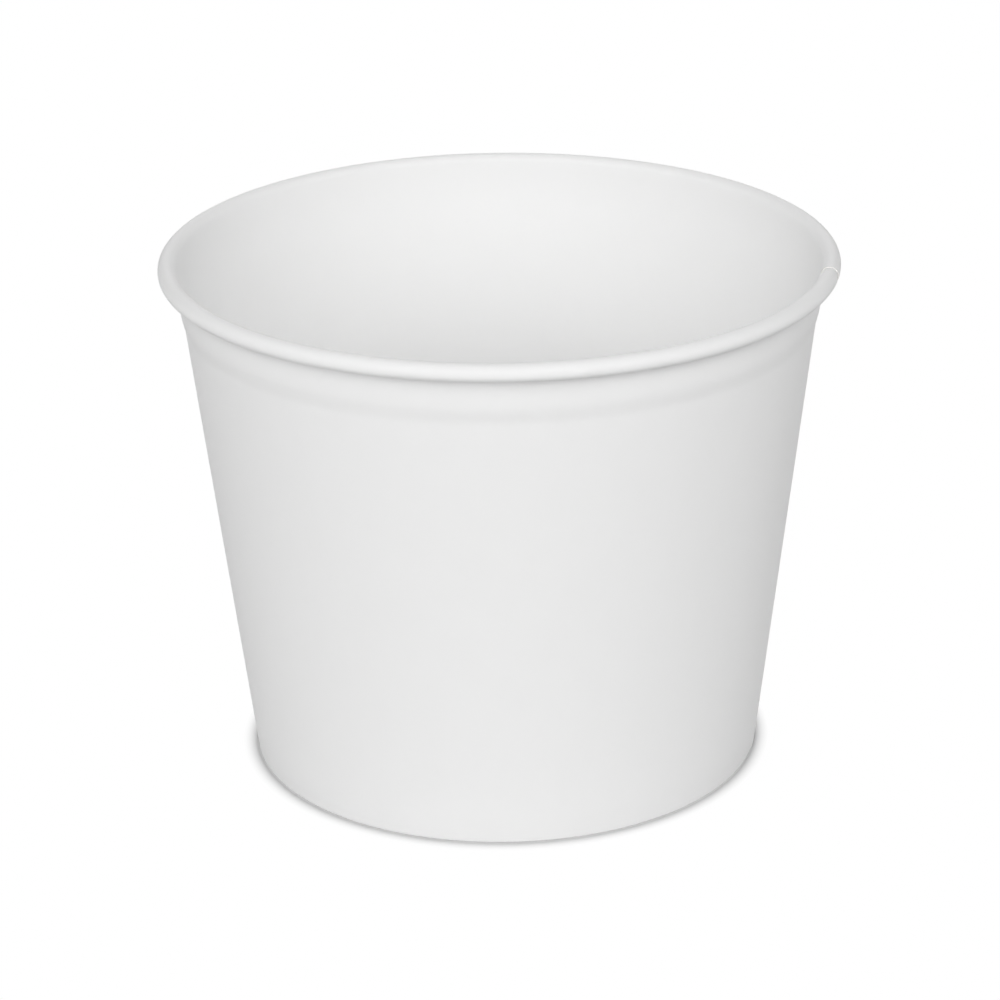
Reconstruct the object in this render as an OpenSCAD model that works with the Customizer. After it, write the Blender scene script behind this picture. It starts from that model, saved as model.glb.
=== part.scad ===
// Paper food bucket. One sheet of coated paperboard is rolled into a cone and lapped at a side
// seam, its top edge is curled out into a rim, a soft shoulder below the rim lets a stack stand,
// and its lower edge is folded in round the skirt of a recessed bottom.
// Millimetres, +Z up. The origin is the centre of the standing plane and -Y is the front.

/* [Overall] */
// Outside diameter over the rolled rim
rim_d = 180; // [160:1:210]
// Height from the standing plane to the top of the rolled rim
total_h = 140; // [110:1:190]
// Outside diameter of the wall, drawn down to the standing plane
base_d = 137.2; // [124:0.2:150]

/* [Paperboard] */
// Thickness of the sheet that makes the wall, the rim and the hem
wall_t = 0.5; // [0.3:0.05:0.7]
// Thickness of the blank that makes the bottom and its skirt
bottom_t = 0.5; // [0.3:0.05:0.7]

/* [Rolled rim] */
// Diameter of the roll, seen in section
roll_d = 4.8; // [3.6:0.1:6]
// Gap between the layers of the roll
roll_gap = 0.15; // [0.1:0.05:0.3]
// How far the sheet's edge carries on inside the roll, in degrees
roll_tuck = 70; // [30:5:110]

/* [Stacking shoulder] */
// Distance along the wall from the top of the rim down to the foot of the shoulder
shoulder_drop = 17.5; // [14:0.5:30]
// Length of the slope from the foot up to the crest
shoulder_l = 4.5; // [2:0.5:6]
// How far the band above the shoulder stands outside the line of the wall
shoulder_out = 0.35; // [0.1:0.05:1]
// How far the crest stands outside the band
crest_out = 0.12; // [0.02:0.02:0.3]
// Length over which the crest falls back into the band above it
crest_l = 3.5; // [1:0.5:5]

/* [Side seam] */
// Direction of the inner flap's edge seen from above, with 0 along +X
lap_at = -12; // [-90:1:90]
// Width of the overlap at the rim
lap_w = 10; // [6:0.5:16]
// Length over which the outer flap climbs onto the inner one, at the rim
lap_ramp = 4; // [1:0.5:4.5]

/* [Bottom] */
// Height of the bottom's upper side above the standing plane
bottom_z = 10.5; // [8:0.5:20]
// Inside radius of the bend from the bottom into its skirt
bend_r = 0.6; // [0.3:0.1:1.5]
// Gap between the bottom's bend and the top edge of the hem
hem_gap = 1; // [0.5:0.25:3]
// Gap between the skirt's lower edge and the round of the fold that holds it
skirt_gap = 0.2; // [0.1:0.05:0.5]
// Width of the flat that the fold stands on
foot_w = 0.6; // [0.3:0.1:0.9]
// Thickness of the coating line that seals the wall, the skirt and the hem together
seal_gap = 0.03; // [0.02:0.01:0.08]

/* [Hidden] */
board_white = [0.93, 0.93, 0.925];
turn_fn = 180;
arc_fn = 64;
// Rolled rim: the first half turn, the tighter second one and the tucked end
roll_r = roll_d / 2;
roll_under_r = roll_r - (wall_t + roll_gap) / 2;
roll_tuck_r = roll_r - wall_t - roll_gap;
roll_at = [rim_d / 2 - roll_r, total_h - roll_r];
// Sections of the sheet are drawn along the wall's slope: the roll's centre is their origin,
// x is square to the wall and y runs up along it
band_x = wall_t - roll_r;
wall_x = band_x - shoulder_out;
slope_run = roll_at[0] - base_d / 2;
taper = atan2(slope_run, roll_at[1]) + asin(wall_x / norm([slope_run, roll_at[1]]));
apex_z = -base_d / 2 / tan(taper);
// Shoulder, along the slope
shoulder_y = roll_r - shoulder_drop;
crest_y = shoulder_y + shoulder_l;
band_y = crest_y + crest_l;
// Fold at the standing plane: it wraps the skirt and both coating lines
fold_in_r = bottom_t / 2 + seal_gap;
fold_r = fold_in_r + wall_t;
fold_z = sqrt(fold_r * fold_r - foot_w * foot_w / 4);
fold_x = wall_x - fold_r;
fold_y = thousandth(slope_y(fold_x, fold_z));
// Bottom: its bend is tangent to the skirt, and the hem ends below the bend
bend_out_r = bend_r + bottom_t;
bend_x = fold_x + bottom_t / 2 - bend_out_r;
bend_z = bottom_z - bend_out_r;
bend_y = slope_y(bend_x, bend_z);
bend_at = [thousandth(roll_at[0] + bend_x * cos(taper) + bend_y * sin(taper)), bend_z];
skirt_l = bend_y - fold_y - skirt_gap;
hem_l = bend_y - fold_y - hem_gap;
// Side seam, as angles at the rim, with the outer flap's climb tilted off the tangent plane
// from which the round wall falls away
lap_angle = lap_w / (rim_d / 2) * 180 / PI;
ramp_angle = lap_ramp / (rim_d / 2) * 180 / PI;
ramp_fall = lap_ramp * lap_ramp / rim_d;
ramp_tilt = atan2(wall_t - ramp_fall, lap_ramp);
lap_sink = 0.05;
// How far the flaps' steps fade out before the fold and before the roll
flap_rise = 0.4;

// How far up the slope a point lies, from its distance square to the wall and its height
function slope_y(x, z) = (z - roll_at[1] + x * sin(taper)) / cos(taper);

// Pieces of a section meet on the same line, so their places are kept to whole microns
function thousandth(size) = round(size * 1000) / 1000;

// Outer side of the wall between two places on the slope, moved square to it by a distance
function wall_side(out, low_y, top_y) = [
    [wall_x + out, low_y],
    [wall_x + out, shoulder_y],
    [band_x + crest_out + out, crest_y],
    [band_x + out, band_y],
    [band_x + out, top_y]
];

function turned_round(points) = [for (i = [len(points) - 1 : -1 : 0]) points[i]];

// Puts a section that is drawn along the slope in its place beside the axis
module on_slope() {
    translate(roll_at) {
        rotate([0, 0, -taper]) {
            children();
        }
    }
}

// A strip of board between two distances from the wall's outer side
module wall_strip(inner, outer, low_y, top_y) {
    polygon(concat(
        wall_side(outer, low_y, top_y),
        turned_round(wall_side(inner, low_y, top_y))
    ));
}

module arc_ring(outer_r, inner_r) {
    difference() {
        circle(r = outer_r, $fn = arc_fn);
        circle(r = inner_r, $fn = arc_fn);
    }
}

module upper_half_ring(outer_r, inner_r) {
    intersection() {
        arc_ring(outer_r, inner_r);
        translate([-2 * outer_r, 0]) {
            square([4 * outer_r, 2 * outer_r]);
        }
    }
}

module lower_half_ring(outer_r, inner_r) {
    intersection() {
        arc_ring(outer_r, inner_r);
        translate([-2 * outer_r, -2 * outer_r]) {
            square([4 * outer_r, 2 * outer_r]);
        }
    }
}

// Section of the curl: over the top, back under it, and up inside beside the wall
module roll_section() {
    upper_half_ring(roll_r, roll_r - wall_t);
    translate([roll_r - roll_under_r, 0]) {
        lower_half_ring(roll_under_r, roll_under_r - wall_t);
    }
    intersection() {
        upper_half_ring(roll_tuck_r, roll_tuck_r - wall_t);
        rotate([0, 0, -roll_tuck]) {
            translate([-roll_d, -roll_d]) {
                square([2 * roll_d, roll_d]);
            }
        }
    }
}

// Section of the fold under the skirt and of the hem that rises inside it
module hem_section() {
    translate([fold_x, fold_y]) {
        lower_half_ring(fold_r, fold_in_r);
        translate([-fold_r, 0]) {
            square([wall_t, hem_l]);
        }
    }
}

module sheet_section() {
    difference() {
        on_slope() {
            wall_strip(-wall_t, 0, fold_y, 0);
            roll_section();
            hem_section();
        }
        translate([0, -base_d]) {
            square([rim_d, base_d]);
        }
    }
}

// Everything outside the plane that the outer flap climbs by, sunk by a distance
module outside_ramp(sunk) {
    rotate([0, 0, lap_at - ramp_angle]) {
        translate([0, 0, apex_z]) {
            rotate([0, taper, 0]) {
                rotate([0, 0, -ramp_tilt]) {
                    translate([-sunk, -rim_d / 2, 0]) {
                        cube([rim_d, rim_d, 2 * (total_h - apex_z)]);
                    }
                }
            }
        }
    }
}

// Outer flap: a second layer over the inner flap, thinning out along its climb
module outer_flap() {
    difference() {
        rotate([0, 0, lap_at - 2 * ramp_angle]) {
            rotate_extrude(angle = 2 * ramp_angle + lap_angle, $fn = turn_fn) {
                on_slope() {
                    wall_strip(-lap_sink, wall_t, fold_y + flap_rise, -wall_t);
                }
            }
        }
        outside_ramp(0);
    }
}

// Hollow beside the inner flap's edge, where the sheet lifts away to pass over it
module flap_hollow() {
    difference() {
        rotate([0, 0, lap_at - 2 * ramp_angle]) {
            rotate_extrude(angle = 2 * ramp_angle, $fn = turn_fn) {
                on_slope() {
                    wall_strip(-wall_t - seal_gap, wall_t / 2, fold_y + flap_rise, -flap_rise);
                }
            }
        }
        outside_ramp(wall_t);
    }
}

// Wall, rolled rim, lapped seam, fold and hem: one sheet
module sidewall() {
    color(board_white) {
        difference() {
            union() {
                rotate_extrude($fn = turn_fn) {
                    sheet_section();
                }
                outer_flap();
            }
            flap_hollow();
        }
    }
}

// Section of the bottom: a flat panel, a round bend and the skirt along the wall
module bottom_section() {
    translate([0, bottom_z - bottom_t]) {
        square([bend_at[0], bottom_t]);
    }
    translate(bend_at) {
        difference() {
            rotate([0, 0, -taper]) {
                upper_half_ring(bend_out_r, bend_r);
                translate([bend_r, -skirt_l]) {
                    square([bottom_t, skirt_l]);
                }
            }
            translate([-2 * bend_out_r, 0]) {
                square([2 * bend_out_r, 2 * bend_out_r]);
            }
        }
    }
}

// Bottom: one blank with its edge turned down into a skirt
module bottom_disc() {
    color(board_white) {
        rotate_extrude($fn = turn_fn) {
            bottom_section();
        }
    }
}

sidewall();
bottom_disc();
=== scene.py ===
"""Looks of the paper food bucket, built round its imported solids.

The wall is one sheet of coated board: rolled into a cone, lapped at a side seam, curled out into
the rim and folded in as the hem. The bottom is a second blank with its edge turned down. Both are
meshed here in metres, in the frame of the solids they stand for, with the -Y side at the front.
"""

import logging
import math
from dataclasses import dataclass, field
from enum import Enum, IntEnum
from typing import Any, Sequence

import bmesh
import bpy
import numpy as np
from mathutils import Matrix, Vector


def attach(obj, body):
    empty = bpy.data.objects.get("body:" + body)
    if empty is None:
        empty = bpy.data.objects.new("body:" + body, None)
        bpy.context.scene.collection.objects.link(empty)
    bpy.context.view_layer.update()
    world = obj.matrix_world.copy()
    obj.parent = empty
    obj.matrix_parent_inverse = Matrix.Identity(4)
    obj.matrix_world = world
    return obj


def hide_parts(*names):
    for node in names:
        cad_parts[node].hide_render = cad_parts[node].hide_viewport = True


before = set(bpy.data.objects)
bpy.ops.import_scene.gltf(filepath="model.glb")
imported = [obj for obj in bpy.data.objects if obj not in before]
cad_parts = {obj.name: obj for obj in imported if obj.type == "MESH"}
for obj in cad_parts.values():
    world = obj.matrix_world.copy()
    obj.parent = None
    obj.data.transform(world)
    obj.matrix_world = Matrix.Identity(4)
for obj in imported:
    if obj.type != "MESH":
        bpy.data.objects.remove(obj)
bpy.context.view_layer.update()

log = logging.getLogger("bucket")

MM = 0.001
TAU = 2 * math.pi
WHITE = (1.0, 1.0, 1.0, 1.0)
# Points nearer than this are one: in millimetres in a section, in metres in a mesh
SAME_IN_SECTION = 1e-6
SAME_IN_MESH = 1e-7

Colour = tuple[float, float, float]
Owner = bpy.types.Material | bpy.types.World


def ease(value: np.ndarray) -> np.ndarray:
    """Return a smooth step from 0 to 1 as value goes from 0 to 1."""
    t = np.clip(value, 0.0, 1.0)
    return t * t * (3.0 - 2.0 * t)


class Part(Enum):
    """Where along its section a strip of the sheet lies."""

    ROLL = "roll"
    WALL = "wall"
    FOLD = "fold"
    HEM = "hem"


class Finish(IntEnum):
    """The number that a finish has on a piece."""

    BOARD = 0
    CUT = 1


@dataclass(frozen=True)
class Sock:
    """A shader socket that takes part in Python expressions, with others or with numbers."""

    tree: bpy.types.NodeTree
    socket: bpy.types.NodeSocket

    def _maths(self, operation: str, *values: "Sock | float") -> "Sock":
        """Add one Math node.

        Args:
            operation: the node's operation.
            values: its inputs in order, as Sock or number.

        Returns:
            The node's result.
        """
        node = self.tree.nodes.new("ShaderNodeMath")
        node.operation = operation
        for place, value in zip(node.inputs, values):
            if isinstance(value, Sock):
                self.tree.links.new(value.socket, place)
            else:
                place.default_value = value
        return Sock(self.tree, node.outputs[0])

    def __add__(self, other: "Sock | float") -> "Sock":
        """Return self + other."""
        return self._maths("ADD", self, other)

    def __radd__(self, other: "Sock | float") -> "Sock":
        """Return other + self."""
        return self._maths("ADD", other, self)

    def __sub__(self, other: "Sock | float") -> "Sock":
        """Return self - other."""
        return self._maths("SUBTRACT", self, other)

    def __rsub__(self, other: "Sock | float") -> "Sock":
        """Return other - self."""
        return self._maths("SUBTRACT", other, self)

    def __mul__(self, other: "Sock | float") -> "Sock":
        """Return self * other."""
        return self._maths("MULTIPLY", self, other)

    def __rmul__(self, other: "Sock | float") -> "Sock":
        """Return other * self."""
        return self._maths("MULTIPLY", other, self)

    def __abs__(self) -> "Sock":
        """Return self without its sign."""
        return self._maths("ABSOLUTE", self)

    def clamped(self) -> "Sock":
        """Return self held between 0 and 1."""
        return self._maths("MINIMUM", self._maths("MAXIMUM", self, 0.0), 1.0)


@dataclass
class Shader:
    """The nodes of a material or of the world, and the ways they are added."""

    owner: Owner
    tree: bpy.types.NodeTree = field(init=False)
    output: bpy.types.Node = field(init=False)

    def __post_init__(self) -> None:
        """Empty the node tree and give it its output."""
        self.owner.use_nodes = True
        self.tree = self.owner.node_tree
        self.tree.nodes.clear()
        kind = "World" if isinstance(self.owner, bpy.types.World) else "Material"
        self.output = self.add("ShaderNodeOutput" + kind)

    def add(
        self,
        kind: str,
        settings: dict[str, Any] | None = None,
        sockets: dict[str | int, Any] | None = None,
    ) -> bpy.types.Node:
        """Add one node.

        Args:
            kind: the node's type.
            settings: properties that are set before the sockets, such as its operation.
            sockets: input values or links, by the socket's name or number.

        Returns:
            The node.
        """
        node = self.tree.nodes.new(kind)
        for key, value in (settings or {}).items():
            setattr(node, key, value)
        for key, value in (sockets or {}).items():
            if isinstance(value, Sock):
                self.tree.links.new(value.socket, node.inputs[key])
            else:
                node.inputs[key].default_value = value
        return node

    def out(self, node: bpy.types.Node, name: str | int = 0) -> Sock:
        """Return the node's output of that name or number."""
        return Sock(self.tree, node.outputs[name])

    def seen(self) -> Sock:
        """Tell what is seen from what only lights.

        Returns:
            1 for what the camera, a reflection or a view through glass sees, else 0.
        """
        path = self.add("ShaderNodeLightPath")
        rays = self.out(path, "Is Camera Ray") + self.out(path, "Is Glossy Ray")
        return (rays + self.out(path, "Is Transmission Ray")).clamped()

    def blend(self, share: Sock, first: Sock, second: Sock) -> Sock:
        """Return a shader between two.

        Args:
            share: 0 for the first shader, 1 for the second.
            first: the first shader.
            second: the second shader.

        Returns:
            The mixed shader.
        """
        mix = self.add("ShaderNodeMixShader", sockets={"Fac": share, 1: first, 2: second})
        return self.out(mix)

    def place(self) -> Sock:
        """Return the point that is shaded, in the object's own metres."""
        return self.out(self.add("ShaderNodeTexCoord"), "Object")

    def stretched(self, point: Sock, scale: Sequence[float]) -> Sock:
        """Return the point scaled by axis.

        Args:
            point: the point to scale.
            scale: one factor for each axis.

        Returns:
            The scaled point.
        """
        node = self.add("ShaderNodeVectorMath", {"operation": "MULTIPLY"}, {0: point, 1: scale})
        return self.out(node, "Vector")

    def noise(self, point: Sock, detail: float = 2.0, roughness: float = 0.5) -> Sock:
        """Return a soft noise from 0 to 1.

        Args:
            point: where it is read, one unit to a lump.
            detail: how many finer layers it has.
            roughness: how strong those layers are.

        Returns:
            The noise's value.
        """
        sockets = {"Vector": point, "Scale": 1.0, "Detail": detail, "Roughness": roughness}
        return self.out(self.add("ShaderNodeTexNoise", sockets=sockets), "Fac")

    def mixed(self, share: Sock, low: Sequence[float], high: Sequence[float]) -> Sock:
        """Return a colour between two.

        Args:
            share: 0 for the first colour, 1 for the second.
            low: the first colour.
            high: the second colour.

        Returns:
            The mixed colour.
        """
        sockets = {0: share, 6: (*low, 1.0), 7: (*high, 1.0)}
        return self.out(self.add("ShaderNodeMix", {"data_type": "RGBA"}, sockets), 2)

    def surfaced(
        self, colour: Sock, rough: Sock, specular: float, relief: Sock, depth: float
    ) -> Owner:
        """Finish the material as a solid surface with a fine relief.

        Args:
            colour: its colour.
            rough: its roughness.
            specular: how strongly it reflects.
            relief: the relief's height, from 0 to 1.
            depth: how deep the relief is, in metres.

        Returns:
            The material.
        """
        sockets = {"Strength": 1.0, "Distance": depth, "Height": relief}
        bump = self.add("ShaderNodeBump", sockets=sockets)
        sockets = {
            "Base Color": colour,
            "Roughness": rough,
            "Specular IOR Level": specular,
            "Normal": self.out(bump, "Normal"),
        }
        return self.finish(self.out(self.add("ShaderNodeBsdfPrincipled", sockets=sockets), "BSDF"))

    def finish(self, surface: Sock) -> Owner:
        """Link the surface to the output.

        Args:
            surface: the finished shader.

        Returns:
            The material or the world.
        """
        self.tree.links.new(surface.socket, self.output.inputs["Surface"])
        return self.owner


@dataclass(frozen=True)
class CoatedBoard:
    """White paperboard under a thin satin coating.

    Fibres run up the sheet, so its cloudiness and its grain are stretched that way.
    """

    name: str = "coated_board"
    light: Colour = (0.945, 0.945, 0.943)
    dark: Colour = (0.922, 0.922, 0.920)
    rough_low: float = 0.58
    rough_high: float = 0.72
    specular: float = 0.07
    cloud_mm: float = 9.0
    cloud_stretch: float = 0.6
    cloud_tone: float = 0.6
    fibre_mm: float = 0.35
    fibre_stretch: float = 0.28
    fibre_relief: float = 0.55
    peel_mm: float = 1.0
    bump_mm: float = 0.012

    def material(self) -> bpy.types.Material:
        """Make the material.

        Returns:
            The finished material.
        """
        s = Shader(bpy.data.materials.new(self.name))
        point = s.place()
        sizes = (self.cloud_mm, self.fibre_mm, self.peel_mm)
        lumps, grain, dimples = (1.0 / (size * MM) for size in sizes)
        cloud = s.noise(s.stretched(point, (lumps, lumps, lumps * self.cloud_stretch)), 4.0, 0.55)
        fibre = s.noise(s.stretched(point, (grain, grain, grain * self.fibre_stretch)), 3.0, 0.6)
        peel = s.noise(s.stretched(point, (dimples,) * 3), 2.0, 0.5)
        tone = (cloud * self.cloud_tone + fibre * (1.0 - self.cloud_tone)).clamped()
        rough = self.rough_low + (self.rough_high - self.rough_low) * (cloud * 0.5 + peel * 0.5)
        relief = fibre * self.fibre_relief + peel * (1.0 - self.fibre_relief)
        colour = s.mixed(tone, self.dark, self.light)
        return s.surfaced(colour, rough, self.specular, relief, self.bump_mm * MM)


@dataclass(frozen=True)
class CutEdge:
    """The bleached pulp that shows where the board was cut, in fine layers."""

    name: str = "cut_edge"
    light: Colour = (0.90, 0.89, 0.865)
    dark: Colour = (0.83, 0.82, 0.79)
    rough_low: float = 0.8
    rough_high: float = 0.95
    specular: float = 0.2
    grain_mm: float = 0.12
    grain_stretch: float = 0.3
    bump_mm: float = 0.02

    def material(self) -> bpy.types.Material:
        """Make the material.

        Returns:
            The finished material.
        """
        s = Shader(bpy.data.materials.new(self.name))
        grain = 1.0 / (self.grain_mm * MM)
        point = s.stretched(s.place(), (grain, grain, grain * self.grain_stretch))
        pulp = s.noise(point, 3.0, 0.6)
        rough = self.rough_low + (self.rough_high - self.rough_low) * pulp
        colour = s.mixed(pulp, self.dark, self.light)
        return s.surfaced(colour, rough, self.specular, pulp, self.bump_mm * MM)


@dataclass(frozen=True)
class StudioFloor:
    """Pale floor seen as plain white, but for a ring of painted shade at the foot, with the real
    shadow on it.
    """

    name: str = "studio_floor"
    colour: float = 0.6
    foot_r_mm: float = 69.0
    # Width of the ring of painted shade round the foot, in millimetres
    shadow_mm: float = 4.2

    def material(self) -> bpy.types.Material:
        """Make the material.

        Returns:
            The finished material.
        """
        s = Shader(bpy.data.materials.new(self.name))
        grey = (self.colour, self.colour, self.colour, 1.0)
        diffuse = s.out(s.add("ShaderNodeBsdfDiffuse", sockets={"Color": grey}))
        glow = s.out(s.add("ShaderNodeEmission", sockets={"Color": WHITE, "Strength": 1.0}))
        # Painted shade: the white fades out near the foot, so the grey floor shows there even where
        # no shadow falls, with the real shadow on it
        level = s.stretched(s.place(), (1.0, 1.0, 0.0))
        away = s.add("ShaderNodeVectorMath", {"operation": "LENGTH"}, {0: level})
        shade_ring_fade = (s.out(away, "Value") - self.foot_r_mm * MM) * (1.0 / (self.shadow_mm * MM))
        shade_ring_fade = abs(shade_ring_fade).clamped()
        return s.finish(s.blend(s.seen() * shade_ring_fade * (2.0 - shade_ring_fade), diffuse, glow))


@dataclass
class Section:
    """Middle line of the board in section, along the slope of the wall.

    x is square to the wall and y runs up along it, in millimetres, from the roll's centre. Each
    point has the direction square to the board that faces out of the bucket on the wall.
    """

    x: list[float] = field(default_factory=list)
    y: list[float] = field(default_factory=list)
    nx: list[float] = field(default_factory=list)
    ny: list[float] = field(default_factory=list)
    part: list[Part] = field(default_factory=list)

    def put(self, x: float, y: float, nx: float, ny: float, part: Part = Part.WALL) -> None:
        """Add one point, unless it repeats the last one.

        Args:
            x: its place, square to the wall.
            y: its place, along the wall.
            nx: the part of its direction that is square to the wall.
            ny: the part of its direction that runs along the wall.
            part: what part of the sheet it is in; the bottom has none.
        """
        if self.x and math.hypot(x - self.x[-1], y - self.y[-1]) < SAME_IN_SECTION:
            self.part[-1] = part
            return
        size = math.hypot(nx, ny)
        self.x.append(x)
        self.y.append(y)
        self.nx.append(nx / size)
        self.ny.append(ny / size)
        self.part.append(part)

    def arc(
        self,
        cx: float,
        cy: float,
        radius: float,
        start: float,
        end: float,
        steps: int,
        part: Part,
    ) -> None:
        """Add an arc.

        Args:
            cx: its centre, square to the wall.
            cy: its centre, along the wall.
            radius: its radius.
            start: angle of its first point, in degrees.
            end: angle of its last point; a smaller one runs clockwise.
            steps: how many pieces it is cut into.
            part: what part of the sheet it is.
        """
        side = -1.0 if end > start else 1.0
        for i in range(steps + 1):
            a = math.radians(start + (end - start) * i / steps)
            c, s = math.cos(a), math.sin(a)
            self.put(cx + radius * c, cy + radius * s, side * c, side * s, part)

    def rows(self, part: Part) -> np.ndarray:
        """Return a column that is true in the rows of a part."""
        return np.array([each is part for each in self.part])[:, None]

    def split(self, part: Part) -> tuple["Section", "Section"]:
        """Cut the section where a part begins.

        Args:
            part: the part that the second piece starts with.

        Returns:
            The rows before it and the rows from it on.
        """
        at = self.part.index(part)
        rows = (self.x, self.y, self.nx, self.ny, self.part)
        return Section(*(v[:at] for v in rows)), Section(*(v[at:] for v in rows))


@dataclass
class Bucket:
    """Sizes that the sheet and the bottom share, in millimetres, as in the solids."""

    rim_d: float = 180.0
    total_h: float = 140.0
    base_d: float = 137.2
    wall_t: float = 0.5
    bottom_t: float = 0.5
    roll_d: float = 4.8
    roll_gap: float = 0.15
    roll_tuck: float = 70.0
    shoulder_drop: float = 17.5
    shoulder_l: float = 4.5
    shoulder_out: float = 0.35
    crest_out: float = 0.12
    crest_l: float = 3.5
    lap_at: float = -12.0
    lap_w: float = 10.0
    lap_ramp: float = 4.0
    bottom_z: float = 10.5
    bend_r: float = 0.6
    hem_gap: float = 1.0
    skirt_gap: float = 0.2
    foot_w: float = 0.6
    seal_gap: float = 0.03
    wobble: tuple[tuple[int, float, float], ...] = (
        (2, 0.45, 1.571),
        (3, 0.04, 2.1),
        (5, 0.02, 4.0),
    )
    wobble_rise: float = 1.5
    shrink: float = 0.06
    roll_r: float = field(init=False)
    roll_under_r: float = field(init=False)
    roll_tuck_r: float = field(init=False)
    roll_at: tuple[float, float] = field(init=False)
    band_x: float = field(init=False)
    wall_x: float = field(init=False)
    taper: float = field(init=False)
    foot_y: float = field(init=False)
    fold_in_r: float = field(init=False)
    fold_r: float = field(init=False)
    fold_z: float = field(init=False)
    fold_x: float = field(init=False)
    fold_y: float = field(init=False)
    bend_out_r: float = field(init=False)
    bend_x: float = field(init=False)
    bend_y: float = field(init=False)
    bend_z: float = field(init=False)
    hem_l: float = field(init=False)

    def __post_init__(self) -> None:
        """Work out the places that follow from the sizes."""
        self.roll_r = self.roll_d / 2
        self.roll_under_r = self.roll_r - (self.wall_t + self.roll_gap) / 2
        self.roll_tuck_r = self.roll_r - self.wall_t - self.roll_gap
        self.roll_at = (self.rim_d / 2 - self.roll_r, self.total_h - self.roll_r)
        self.band_x = self.wall_t - self.roll_r
        self.wall_x = self.band_x - self.shoulder_out
        run, tall = self.roll_at[0] - self.base_d / 2, self.roll_at[1]
        self.taper = math.atan2(run, tall) + math.asin(self.wall_x / math.hypot(run, tall))
        self.foot_y = self.roll_r - self.shoulder_drop
        self.fold_in_r = self.bottom_t / 2 + self.seal_gap
        self.fold_r = self.fold_in_r + self.wall_t
        self.fold_z = math.sqrt(self.fold_r**2 - self.foot_w**2 / 4)
        self.fold_x = self.wall_x - self.fold_r
        self.fold_y = self.slope_y(self.fold_x, self.fold_z)
        self.bend_out_r = self.bend_r + self.bottom_t
        self.bend_x = self.fold_x + self.bottom_t / 2 - self.bend_out_r
        self.bend_z = self.bottom_z - self.bend_out_r
        self.bend_y = self.slope_y(self.bend_x, self.bend_z)
        self.hem_l = self.bend_y - self.fold_y - self.hem_gap

    def slope_y(self, x: float, z: float) -> float:
        """Return how far up the slope a point lies that is x square to the wall and z high."""
        return (z - self.roll_at[1] + x * math.sin(self.taper)) / math.cos(self.taper)

    def upright(self, x: np.ndarray, y: np.ndarray) -> tuple[np.ndarray, np.ndarray]:
        """Turn places along the slope into radius and height.

        Args:
            x: distances square to the wall.
            y: distances up along the wall.

        Returns:
            The radii and the heights.
        """
        c, s = math.cos(self.taper), math.sin(self.taper)
        return self.roll_at[0] + x * c + y * s, self.roll_at[1] - x * s + y * c

    def unround(self, angle: np.ndarray, height: np.ndarray) -> np.ndarray:
        """Return how far the board leaves a true round, which grows towards the rim.

        Args:
            angle: directions round the bucket, in radians.
            height: heights above the standing plane.

        Returns:
            Changes of radius, so small that the bucket stays in its box.
        """
        total = sum(a * np.cos(n * angle + p) for n, a, p in self.wobble) - self.shrink
        return total * np.clip(height / self.total_h, 0.0, 1.0) ** self.wobble_rise


@dataclass
class Piece:
    """A mesh that is put together from points and strips of faces."""

    name: str
    points: list[np.ndarray] = field(default_factory=list)
    faces: list[tuple[int, ...]] = field(default_factory=list)
    kinds: list[Finish] = field(default_factory=list)
    count: int = 0

    def grid(self, points: np.ndarray, kind: Finish) -> np.ndarray:
        """Add a grid of faces.

        Args:
            points: rows by columns by 3, in millimetres.
            kind: its finish.

        Returns:
            The numbers of its points, rows by columns.
        """
        rows, cols = points.shape[:2]
        ids = np.arange(rows * cols).reshape(rows, cols) + self.count
        self.points.append(points.reshape(-1, 3))
        self.count += rows * cols
        for r in range(rows - 1):
            self.strip(ids[r], ids[r + 1], kind)
        return ids

    def strip(self, first: np.ndarray, second: np.ndarray, kind: Finish) -> None:
        """Add a strip of faces between two rows of points.

        Args:
            first: the numbers of one row's points.
            second: the numbers of the other's.
            kind: its finish.
        """
        corners = np.stack([first[:-1], first[1:], second[1:], second[:-1]], axis=1)
        self.faces.extend(tuple(face) for face in corners.tolist())
        self.kinds.extend([kind] * len(corners))

    def graft(self, wide: np.ndarray, fine: np.ndarray, split: int, kind: Finish) -> None:
        """Add a strip of faces between a row and a finer row.

        Args:
            wide: the numbers of the coarse row's points.
            fine: the numbers of the finer row's.
            split: how many fine steps lie along a coarse one.
            kind: its finish.
        """
        for i in range(len(wide) - 1):
            under = fine[i * split : (i + 1) * split + 1][::-1].tolist()
            self.faces.append((int(wide[i]), int(wide[i + 1]), *under))
            self.kinds.append(kind)

    def build(
        self, materials: Sequence[bpy.types.Material], crease: float = 40.0
    ) -> bpy.types.Object:
        """Make the object.

        Args:
            materials: its finishes, in the order of Finish.
            crease: the angle above which an edge stays sharp, in degrees.

        Returns:
            The object, smooth shaded.
        """
        mesh = bpy.data.meshes.new(self.name)
        mesh.from_pydata((np.concatenate(self.points) * MM).tolist(), [], self.faces)
        mesh.polygons.foreach_set("material_index", self.kinds)
        for material in materials:
            mesh.materials.append(material)
        shape = bmesh.new()
        shape.from_mesh(mesh)
        bmesh.ops.remove_doubles(shape, verts=shape.verts, dist=SAME_IN_MESH)
        bmesh.ops.recalc_face_normals(shape, faces=shape.faces)
        for face in shape.faces:
            face.smooth = True
        limit = math.radians(crease)
        for edge in shape.edges:
            edge.smooth = len(edge.link_faces) < 2 or edge.calc_face_angle(0.0) < limit
        shape.to_mesh(mesh)
        shape.free()
        made = bpy.data.objects.new(self.name, mesh)
        bpy.context.scene.collection.objects.link(made)
        return made


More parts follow.
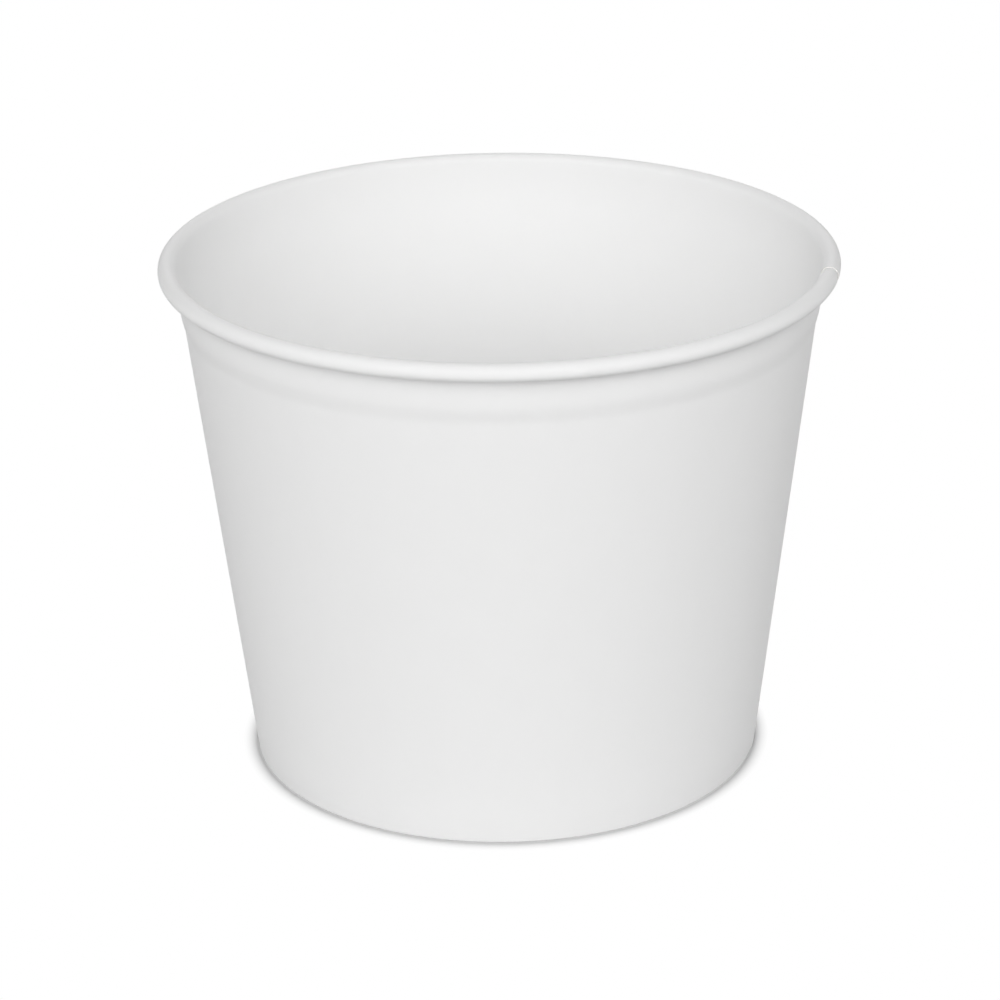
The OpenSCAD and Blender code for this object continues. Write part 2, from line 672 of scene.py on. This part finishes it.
@dataclass
class Sheet:
    """The wall, the rolled rim, the lapped seam, the fold and the hem: one sheet of board.

    The shoulder is pressed in from outside, so it is softer on the inner face. Where the flaps
    lie on each other they are pressed thinner, most of all in the roll. The hem has finer columns
    than the rest, for the short ribs that the sealing wheel leaves in it.
    """

    bucket: Bucket
    # Columns: steps in degrees round the wall and over the climb, and counts beside the flaps
    round_step: float = 1.5
    lap_step: float = 0.25
    under_columns: int = 6
    swell_columns: int = 5
    over_columns: int = 7
    hem_split: int = 4
    # Rows: counts in the roll, the fold and the plain wall, and the step down to below the shoulder
    tuck_rows: int = 8
    under_rows: int = 20
    top_rows: int = 26
    fold_rows: int = 6
    plain_rows: int = 18
    row_step: float = 0.5
    below_foot: float = 2.0
    # Flaps: how thick they are pressed, the glue between them, and over what lengths it fades
    wall_flap_t: float = 0.37
    roll_flap_t: float = 0.25
    glue: float = 0.02
    swell: float = 0.3
    roll_swell: float = 0.05
    press_over: float = 4.0
    # Fold where it is doubled: degrees past the seam, and heights, over which its lift fades
    lift_fade: float = 2.0
    lift_from: float = -0.8
    lift_over: float = 5.0
    # Shoulder: how softly it bends, and how much further it spreads on the inner face
    foot_soft: float = 0.8
    crest_soft: float = 1.0
    inner_spread: float = 3.0
    # Ribs of the hem: pitch in degrees, depth, and where they fade out
    rib_pitch: float = 1.8
    rib_deep: float = 0.13
    rib_from: float = 0.8
    rib_short: float = 1.0
    rib_fade: float = 1.0
    rib_power: float = 1.5
    hem_ends_mm: tuple[float, ...] = (0.5, 0.9, 1.3, 1.8, 2.6)

    def section(self) -> Section:
        """Draw the sheet's middle line.

        Returns:
            The section, from the edge inside the roll to the top of the hem.
        """
        b, s, half = self.bucket, Section(), self.bucket.wall_t / 2
        s.arc(0, 0, b.roll_tuck_r - half, 180 - b.roll_tuck, 180, self.tuck_rows, Part.ROLL)
        aside = b.roll_r - b.roll_under_r
        s.arc(aside, 0, b.roll_under_r - half, 180, 360, self.under_rows, Part.ROLL)
        s.arc(0, 0, b.roll_r - half, 0, 180, self.top_rows, Part.ROLL)
        self.wall(s)
        s.arc(b.fold_x, b.fold_y, b.fold_r - half, 0, -90, self.fold_rows, Part.FOLD)
        s.arc(b.fold_x, b.fold_y, b.fold_r - half, -90, -180, self.fold_rows, Part.HEM)
        top_ends = (b.hem_l - end for end in reversed(self.hem_ends_mm))
        for up in (*self.hem_ends_mm, *top_ends, b.hem_l):
            s.put(b.fold_x - b.fold_r + half, b.fold_y + up, -1.0, 0.0, Part.HEM)
        return s

    def wall(self, s: Section) -> None:
        """Add the wall's line below the roll, with its soft shoulder.

        Args:
            s: the section so far.
        """
        b = self.bucket
        fine = np.arange(-self.row_step, b.foot_y - self.below_foot, -self.row_step)
        coarse = np.linspace(fine[-1], b.fold_y, self.plain_rows)[1:-1]
        y = np.concatenate([fine, coarse])
        x = b.wall_x - b.wall_t / 2 + self.shoulder(y, 0.0, b.crest_out)
        slope = np.gradient(x, y)
        for xi, yi, gi in zip(x, y, slope):
            s.put(float(xi), float(yi), 1.0, -float(gi), Part.WALL)

    def shoulder(self, y: np.ndarray, spread: float, crest_out: float) -> np.ndarray:
        """Return how far the board stands outside the line of the wall below.

        Args:
            y: distances up along the wall.
            spread: how much further the slope reaches up and down than the pressed one.
            crest_out: how far its crest stands outside the band above it.

        Returns:
            The distances.
        """
        b, up = self.bucket, y - self.bucket.foot_y
        rise = ease((up + self.foot_soft + spread) / (b.shoulder_l + self.foot_soft + 2 * spread))
        fall = ease((up - b.shoulder_l) / (b.crest_l + self.crest_soft))
        return rise * (b.shoulder_out + crest_out) - fall * crest_out

    def along(self, length: float) -> float:
        """Return the angle of a length round the rim, in degrees."""
        return math.degrees(length / (self.bucket.rim_d / 2))

    def angles(self) -> np.ndarray:
        """Work out the directions of the columns.

        Returns:
            Angles in degrees, from the inner flap's edge to the outer flap's.
        """
        b = self.bucket
        start, over = b.lap_at, b.lap_at + 360.0
        ramp, free = self.along(b.lap_ramp), b.lap_at + self.along(b.lap_w)
        swelled = free + self.along(self.swell)
        climb = over - ramp
        steps = [
            np.linspace(start, free, self.under_columns),
            np.linspace(free, swelled, self.swell_columns),
            np.linspace(swelled, climb, round((climb - swelled) / self.round_step) + 1),
            np.linspace(climb, over, round(ramp / self.lap_step) + 1),
            np.linspace(over, over + self.along(b.lap_w), self.over_columns),
        ]
        return np.concatenate([steps[0]] + [s[1:] for s in steps[1:]])

    def laps(self, angle: np.ndarray, flap_t: float, swell: float) -> tuple[np.ndarray, np.ndarray]:
        """Work out how the flaps thin and pass over each other.

        Args:
            angle: directions of the columns, in degrees.
            flap_t: thickness of each flap where they are pressed together.
            swell: length over which the board past the outer flap's edge regains its thickness.

        Returns:
            How far the sheet's outer face and its inner face stand outside their usual places.
        """
        b = self.bucket
        over, ramp = b.lap_at + 360.0, self.along(b.lap_ramp)
        climb = ease((angle - over + ramp) / ramp)
        free = b.lap_at + self.along(b.lap_w)
        under = 1.0 - ease((angle - free) / self.along(swell))
        outer = climb * (2 * flap_t + self.glue - b.wall_t) - under * (b.wall_t - flap_t)
        return outer, climb * (flap_t + self.glue)

    def lifted(self, angle: np.ndarray) -> np.ndarray:
        """Work out how far the fold rises off the standing plane where it is doubled.

        Args:
            angle: directions of the columns, in degrees.

        Returns:
            Heights, one for each column.
        """
        b = self.bucket
        over, ramp = b.lap_at + 360.0, self.along(b.lap_ramp)
        free = b.lap_at + self.along(b.lap_w)
        doubled = ease((angle - over + ramp) / ramp) + 1.0 - ease((angle - free) / self.lift_fade)
        return doubled * (2 * self.wall_flap_t + self.glue - b.wall_t)

    def ribs(self, s: Section, angle: np.ndarray) -> np.ndarray:
        """Return how far the hem bulges inwards between the marks of the sealing wheel.

        Args:
            s: rows of the section.
            angle: directions of the columns, in degrees.

        Returns:
            Distances, rows by columns.
        """
        b = self.bucket
        y = np.array(s.y)[:, None] - b.fold_y
        low = ease((y - self.rib_from) / self.rib_fade)
        band = low * ease((b.hem_l - self.rib_short - y) / self.rib_fade)
        wave = 0.5 - 0.5 * np.cos(np.radians(angle)[None, :] * round(360.0 / self.rib_pitch))
        return np.where(s.rows(Part.HEM), self.rib_deep * band, 0.0) * wave**self.rib_power

    def side(self, s: Section, angle: np.ndarray, face: int) -> np.ndarray:
        """Return the points of one face of the board.

        Args:
            s: rows of the section.
            angle: directions of the columns, in degrees.
            face: 1 for the face that is outside on the wall, -1 for the other.

        Returns:
            Rows along the section by columns round the bucket by 3.
        """
        b = self.bucket
        x, y, nx, ny = (np.array(v)[:, None] for v in (s.x, s.y, s.nx, s.ny))
        walled = np.where(s.rows(Part.ROLL), 0.0, ease(-y / self.press_over))
        pick = 0 if face > 0 else 1
        on_wall = self.laps(angle, self.wall_flap_t, self.swell)[pick][None, :]
        on_roll = self.laps(angle, self.roll_flap_t, self.roll_swell)[pick][None, :]
        stand = face * b.wall_t / 2 + on_roll + (on_wall - on_roll) * walled + self.ribs(s, angle)
        if face < 0:
            softer = self.shoulder(y, self.inner_spread, 0.0) - self.shoulder(y, 0.0, b.crest_out)
            stand = stand + s.rows(Part.WALL) * softer
        r, z = b.upright(x + nx * stand, y + ny * stand)
        z = z + self.lifted(angle)[None, :] * (1.0 - ease((z - self.lift_from) / self.lift_over))
        turn = np.radians(angle)[None, :]
        r = r + b.unround(turn, z)
        z = np.maximum(z, 0.0) + 0.0 * turn
        return np.stack([r * np.cos(turn), r * np.sin(turn), z], axis=-1)

    def build(self, board: bpy.types.Material, cut: bpy.types.Material) -> bpy.types.Object:
        """Make the sheet.

        Args:
            board: the finish of its two faces.
            cut: the finish of its cut edges.

        Returns:
            The object.
        """
        body, hem = self.section().split(Part.HEM)
        wide = self.angles()
        columns = np.arange((len(wide) - 1) * self.hem_split + 1) / self.hem_split
        fine = np.interp(columns, range(len(wide)), wide)
        piece = Piece("bucket_sheet")
        rims = []
        for face in (1, -1):
            upper = piece.grid(self.side(body, wide, face), Finish.BOARD)
            lower = piece.grid(self.side(hem, fine, face), Finish.BOARD)
            piece.graft(upper[-1], lower[0], self.hem_split, Finish.BOARD)
            rims.append((upper, lower))
        (upper, lower), (back_upper, back_lower) = rims
        piece.strip(upper[0], back_upper[0], Finish.CUT)
        piece.strip(lower[-1], back_lower[-1], Finish.CUT)
        for end in (0, -1):
            front = np.append(upper[:, end], lower[:, end])
            back = np.append(back_upper[:, end], back_lower[:, end])
            piece.strip(front, back, Finish.CUT)
        return piece.build([board, cut])


@dataclass
class Bottom:
    """The recessed bottom: a flat panel, a round bend and the skirt in the fold."""

    bucket: Bucket
    columns: int = 240
    rings: int = 16
    bend_rows: int = 8
    skirt_rows: int = 4
    core: float = 0.02
    sag: float = 0.3
    level_edge: float = 2.0
    warp: float = 0.12
    warp_r: float = 60.0
    warp_turn: float = 0.7

    def section(self) -> Section:
        """Draw the blank's middle line.

        Returns:
            The section as radius and height, from near the axis to the skirt's lower edge.
        """
        b, s, half = self.bucket, Section(), self.bucket.bottom_t / 2
        r, _ = b.upright(np.array(b.bend_x), np.array(b.bend_y))
        for i in range(self.rings + 1):
            s.put(float(r) * max(i, self.core) / self.rings, b.bottom_z - half, 0.0, 1.0)
        turn = 90.0 + math.degrees(b.taper)
        mid = b.bend_r + half
        for i in range(1, self.bend_rows + 1):
            a = math.radians(90.0 - turn * i / self.bend_rows)
            ca, sa = math.cos(a), math.sin(a)
            s.put(float(r) + mid * ca, b.bend_z + mid * sa, ca, sa)
        foot = b.fold_y + b.skirt_gap
        for i in range(1, self.skirt_rows + 1):
            y = b.bend_y + (foot - b.bend_y) * i / self.skirt_rows
            sr, sz = b.upright(np.array(b.fold_x), np.array(y))
            s.put(float(sr), float(sz), math.cos(b.taper), -math.sin(b.taper))
        return s

    def side(self, s: Section, out: float) -> np.ndarray:
        """Return the points of one face of the blank.

        Args:
            s: the section, as radius and height.
            out: distance from the middle line, upwards on the panel.

        Returns:
            Rows along the section by columns round the bottom by 3.
        """
        turn = np.linspace(0.0, TAU, self.columns, endpoint=False)[None, :]
        r = np.array(s.x)[:, None] + out * np.array(s.nx)[:, None]
        z = np.array(s.y)[:, None] + out * np.array(s.ny)[:, None] + 0.0 * turn
        inside = ease(1.0 - r / (self.bucket.base_d / 2 - self.level_edge))
        warp = self.warp * r / self.warp_r * np.cos(2 * turn + self.warp_turn)
        z = z - inside * (self.sag + warp)
        r = r + self.bucket.unround(turn, z)
        return np.stack([r * np.cos(turn), r * np.sin(turn), z], axis=-1)

    def build(self, board: bpy.types.Material, cut: bpy.types.Material) -> bpy.types.Object:
        """Make the bottom.

        Args:
            board: the finish of its two faces.
            cut: the finish of its cut edge.

        Returns:
            The object.
        """
        s = self.section()
        half = self.bucket.bottom_t / 2
        piece = Piece("bucket_bottom")
        grids = []
        for out in (half, -half):
            points = self.side(s, out)
            closed = np.concatenate([points, points[:, :1]], axis=1)
            grids.append(piece.grid(closed, Finish.BOARD))
        upper, lower = grids
        piece.strip(upper[-1], lower[-1], Finish.CUT)
        for ring in (upper[0], lower[0]):
            piece.faces.append(tuple(ring[:-1].tolist()))
            piece.kinds.append(Finish.BOARD)
        return piece.build([board, cut])


@dataclass(frozen=True)
class View:
    """The photograph's camera, found from the outlines of the rim, the wall and the base.

    Its place is in rim radii from the centre of the standing plane, and its angles in degrees.
    """

    rim_r: float = 0.09
    back: float = 10.2116
    up: float = 4.9406
    pitch: float = 22.25
    yaw: float = -0.0447
    roll: float = -0.9063
    focal_px: float = 3661.2
    frame_px: float = 1000.0
    sensor_mm: float = 36.0
    nearest: float = 0.05
    furthest: float = 20.0

    def build(self) -> bpy.types.Object:
        """Make the camera and set it as the scene's.

        Returns:
            The camera.
        """
        yaw, pitch, roll = (math.radians(a) for a in (self.yaw, self.pitch, self.roll))
        level_part = math.cos(pitch)
        ahead = Vector(
            (math.sin(yaw) * level_part, math.cos(yaw) * level_part, -math.sin(pitch))
        )
        level = ahead.cross(Vector((0, 0, 1))).normalized()
        above = level.cross(ahead)
        right = math.cos(roll) * level + math.sin(roll) * above
        top = -math.sin(roll) * level + math.cos(roll) * above
        turn = Matrix((right, top, -ahead)).transposed().to_4x4()
        lens = bpy.data.cameras.new("camera")
        lens.sensor_width = self.sensor_mm
        lens.lens = self.focal_px / self.frame_px * self.sensor_mm
        lens.clip_start = self.nearest
        lens.clip_end = self.furthest
        camera = bpy.data.objects.new("camera", lens)
        at = Matrix.Translation((0, -self.back * self.rim_r, self.up * self.rim_r))
        camera.matrix_world = at @ turn
        bpy.context.scene.collection.objects.link(camera)
        bpy.context.scene.camera = camera
        return camera


@dataclass(frozen=True)
class Lamp:
    """A round soft box that points at the bucket.

    Its azimuth is counted from the front, positive to the right, and its elevation from the floor,
    both in degrees. Its power is in watts, and its lengths are in metres.
    """

    name: str
    azimuth: float
    elevation: float
    power: float
    distance: float = 2.0
    size: float = 1.2
    aim_z: float = 0.07

    def build(self) -> bpy.types.Object:
        """Make the lamp.

        Returns:
            The lamp.
        """
        side, up = math.radians(self.azimuth), math.radians(self.elevation)
        way = Vector((math.sin(side) * math.cos(up), -math.cos(side) * math.cos(up), math.sin(up)))
        at = way * self.distance
        light = bpy.data.lights.new(self.name, "AREA")
        light.shape = "DISK"
        light.size = self.size
        light.energy = self.power
        lamp = bpy.data.objects.new(self.name, light)
        turn = (Vector((0.0, 0.0, self.aim_z)) - at).to_track_quat("-Z", "Y").to_matrix().to_4x4()
        lamp.matrix_world = Matrix.Translation(at) @ turn
        bpy.context.scene.collection.objects.link(lamp)
        return lamp


@dataclass(frozen=True)
class Sky:
    """Soft light from a band all round the bucket, and plain white where it is seen.

    The light is stronger in front. The band's edges are heights of the light's direction, from 0
    at the level to 1 straight up.
    """

    strength: float = 2.21
    fall_behind: float = 0.334
    low: float = 0.25
    high: float = 0.8
    edge: float = 0.18

    def build(self) -> bpy.types.World:
        """Make the world.

        Returns:
            The world.
        """
        s = Shader(bpy.data.worlds.new("studio"))
        dark, bright, shown = (
            s.out(s.add("ShaderNodeBackground", sockets={"Color": WHITE, "Strength": strength}))
            for strength in (0.0, self.strength, 1.0)
        )
        way = s.out(s.add("ShaderNodeTexCoord"), "Generated")
        axes = s.add("ShaderNodeSeparateXYZ", sockets={"Vector": way})
        up, back = s.out(axes, "Z"), s.out(axes, "Y")
        steep = 1.0 / self.edge
        band = ((up - self.low) * steep).clamped() * ((self.high - up) * steep).clamped()
        light = s.blend(band * (1.0 - self.fall_behind * (1.0 + back)), dark, bright)
        return s.finish(s.blend(s.seen(), light, shown))


@dataclass
class Studio:
    """Pale floor, soft light all round and the soft boxes."""

    floor_r: float = 4.0
    floor_sides: int = 64
    sky: Sky = Sky()
    lamps: tuple[Lamp, ...] = (
        Lamp("front_box", -10.0, 22.0, 11.1),
        Lamp("left_box", -60.0, 30.0, 1.0),
        Lamp("right_box", 60.0, 30.0, 2.5),
        Lamp("back_box", 180.0, 12.0, 8.0),
    )

    def build(self) -> bpy.types.Object:
        """Make the floor, the world and the lamps.

        Returns:
            The floor.
        """
        mesh = bpy.data.meshes.new("floor")
        turns = np.linspace(0, TAU, self.floor_sides + 1)[:-1]
        ring = [(self.floor_r * math.cos(a), self.floor_r * math.sin(a), 0.0) for a in turns]
        mesh.from_pydata(ring, [], [tuple(range(self.floor_sides))])
        mesh.materials.append(StudioFloor().material())
        floor = bpy.data.objects.new("floor", mesh)
        bpy.context.scene.collection.objects.link(floor)
        bpy.context.scene.world = self.sky.build()
        for lamp in self.lamps:
            lamp.build()
        return floor


def main() -> None:
    """Build the bucket and its studio, and report each piece."""
    logging.basicConfig(level=logging.INFO, format="%(message)s")
    bucket = Bucket()
    board, cut = CoatedBoard().material(), CutEdge().material()
    sheet = Sheet(bucket).build(board, cut)
    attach(sheet, "root")
    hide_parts("sidewall")
    bottom = Bottom(bucket).build(board, cut)
    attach(bottom, "root")
    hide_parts("bottom_disc")
    for piece in (sheet, bottom):
        log.info("%s: %d faces", piece.name, len(piece.data.polygons))
    Studio().build()
    View().build()
    bpy.context.scene.view_settings.view_transform = "Standard"


if __name__ == "__main__":
    main()
